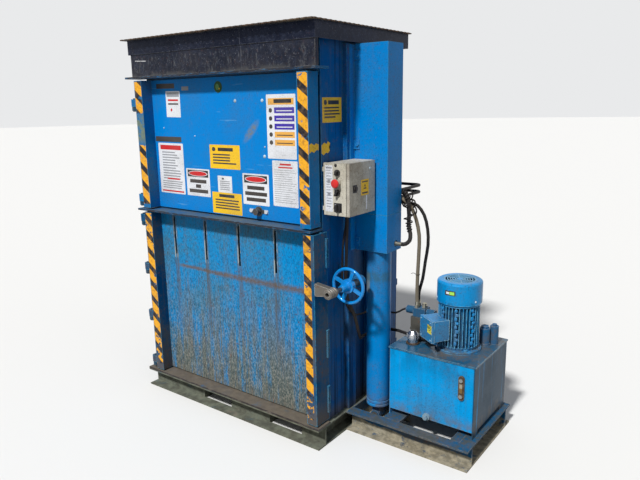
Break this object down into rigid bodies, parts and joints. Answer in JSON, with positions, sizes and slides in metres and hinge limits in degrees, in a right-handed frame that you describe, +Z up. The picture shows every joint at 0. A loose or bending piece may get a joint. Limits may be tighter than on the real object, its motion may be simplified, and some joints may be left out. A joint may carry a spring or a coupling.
{
  "type": "recycling baler",
  "caption": "Upright recycling baler with feed door, bale door, wall-slot ram driven by two side cylinders, handwheel lock, control box and motor-driven hydraulic unit on a side skid.",
  "frame": {"origin": "on the floor under the press, midway between the side walls, in the plane of the two cylinder axes", "axes": "+Z up, -Y towards the front with the doors, +X towards the side with the hydraulic unit"},
  "size_m": [2.1489, 0.883, 1.995],
  "materials": {
    "frame_blue": "matt worn blue paint with brown dirt on the ledges",
    "door_blue": "satin blue paint, faded and scratched",
    "bale_sheet": "worn blue paint with rust and grey streaks",
    "hood_black": "matt black, blotched and scratched",
    "ledge_edge": "dark paint rubbed to bare steel at the lips",
    "floor_steel": "worn mill steel",
    "bare_steel": "dull steel with light rust",
    "rod_chrome": "polished rod",
    "rusty_nut": "rusty casting",
    "bronze": "dull bronze",
    "wheel_blue": "glossy light blue casting",
    "box_cream": "cream powder coat",
    "black_plastic": "matt black plastic",
    "red_plastic": "glossy red plastic",
    "tank_blue": "bright blue gloss paint, a little oily",
    "lid_steel": "oily blue-grey paint",
    "fitting_steel": "dark oily steel, with amber oil in the level glass",
    "zinc": "bright zinc plate",
    "filter_black": "gloss black",
    "cap_chrome": "bright chrome",
    "motor_blue": "blue enamel on cast ribs",
    "fan_black": "black moulded fan on a steel shaft",
    "valve_brown": "oily brown block",
    "hose_grey": "dusty grey-brown hose",
    "hose_black": "black hose",
    "cable": "dirty black cable"
  },
  "bodies": {
    "frame": {"base_frame": "frame_blue", "base_rear": "frame_blue", "base_sides": "frame_blue", "base_rails": "frame_blue", "power_skid": "frame_blue", "skid_bars": "frame_blue", "left_outrigger": "frame_blue", "floor_plate": "floor_steel", "side_walls": "door_blue", "rear_wall": "door_blue", "slot_stiffeners": "frame_blue", "front_rails": "ledge_edge", "hood_fascia": "hood_black", "hood_skirt": "hood_black", "roof_sheet": "hood_black", "hinge_brackets": "frame_blue", "hinge_pins": "bare_steel", "rod_guards": "door_blue", "rod_guards_lower": "door_blue", "guard_rails": "frame_blue", "guard_tabs": "wheel_blue", "cylinders": "tank_blue", "foot_pins": "bare_steel", "lock_bracket": "frame_blue", "control_box": "box_cream", "tank": "tank_blue", "tank_lid": "lid_steel", "tank_fittings": "fitting_steel", "return_filter": "filter_black", "motor_housing": "motor_blue", "terminal_box": "motor_blue", "fan_cowl": "motor_blue", "valve_block": "valve_brown", "solenoid_valve": "valve_brown", "hose_fittings": "zinc", "cross_pipes": "bare_steel", "hose_grey": "hose_grey", "hose_black": "hose_black", "hose_loops": "hose_black", "cables": "cable"},
    "feed_door": {"feed_door_frame": "door_blue", "feed_door_sheet": "door_blue", "door_knob": "bare_steel"},
    "bale_door": {"bale_door_frame": "door_blue", "bale_door_sheet": "bale_sheet", "lock_nut": "rusty_nut"},
    "ram": {"ram_platen": "floor_steel", "ram_beam": "floor_steel", "piston_rods": "rod_chrome"},
    "lock_slide": {"lock_bush": "bronze"},
    "lock_wheel": {"handwheel": "wheel_blue", "lock_spindle": "bare_steel"},
    "stop_head": {"stop_button": "red_plastic"},
    "top_switch": {"selector_top": "black_plastic"},
    "mid_switch": {"selector_mid": "black_plastic"},
    "isolator": {"isolator_knob": "black_plastic"},
    "panel_door": {"box_door": "box_cream"},
    "panel_latch": {"box_latch": "black_plastic"},
    "fan": {"cooling_fan": "fan_black"},
    "cap": {"filler_cap": "cap_chrome"}
  },
  "joints": [
    {"name": "feed_door_swing", "type": "hinge", "parent": "frame", "child": "feed_door", "pos_m": [-0.622, -0.37, 1.44], "axis": [0, 0, -1], "range_deg": [0, 115]},
    {"name": "bale_door_swing", "type": "hinge", "parent": "frame", "child": "bale_door", "pos_m": [-0.622, -0.37, 0.6], "axis": [0, 0, -1], "range_deg": [0, 115]},
    {"name": "ram_travel", "type": "slide", "parent": "frame", "child": "ram", "axis": [0, 0, -1], "range_m": [0, 0.78]},
    {"name": "lock_travel", "type": "slide", "parent": "frame", "child": "lock_slide", "axis": [0, 1, 0], "range_m": [0, 0.04]},
    {"name": "lock_turn", "type": "hinge", "parent": "lock_slide", "child": "lock_wheel", "pos_m": [0.7, -0.25, 0.815], "axis": [0, 1, 0], "range_deg": [0, 2400]},
    {"name": "stop_press", "type": "slide", "parent": "frame", "child": "stop_head", "axis": [0, 1, 0], "range_m": [0, 0.005]},
    {"name": "top_switch_turn", "type": "hinge", "parent": "frame", "child": "top_switch", "pos_m": [0.67749, -0.294, 1.348], "axis": [0, 1, 0], "range_deg": [0, 90]},
    {"name": "mid_switch_turn", "type": "hinge", "parent": "frame", "child": "mid_switch", "pos_m": [0.67749, -0.294, 1.258], "axis": [0, 1, 0], "range_deg": [0, 60]},
    {"name": "isolator_turn", "type": "hinge", "parent": "frame", "child": "isolator", "pos_m": [0.67749, -0.294, 1.189], "axis": [0, 1, 0], "range_deg": [0, 90]},
    {"name": "panel_door_swing", "type": "hinge", "parent": "frame", "child": "panel_door", "pos_m": [0.733, -0.076, 1.271], "axis": [0, 0, 1], "range_deg": [0, 85]},
    {"name": "panel_latch_turn", "type": "hinge", "parent": "panel_door", "child": "panel_latch", "pos_m": [0.741, -0.246, 1.274], "axis": [1, 0, 0], "range_deg": [0, 90]},
    {"name": "fan_spin", "type": "hinge", "parent": "frame", "child": "fan", "pos_m": [1.087, 0.139, 0.76], "axis": [0, 0, 1], "continuous": true},
    {"name": "cap_turn", "type": "hinge", "parent": "frame", "child": "cap", "pos_m": [0.883, 0.056, 0.5], "axis": [0, 0, 1], "range_deg": [0, 60]}
  ],
  "couplings": [
    {"joint": "lock_travel", "follows": "lock_turn", "m_per_rad": 0.0009549}
  ]
}
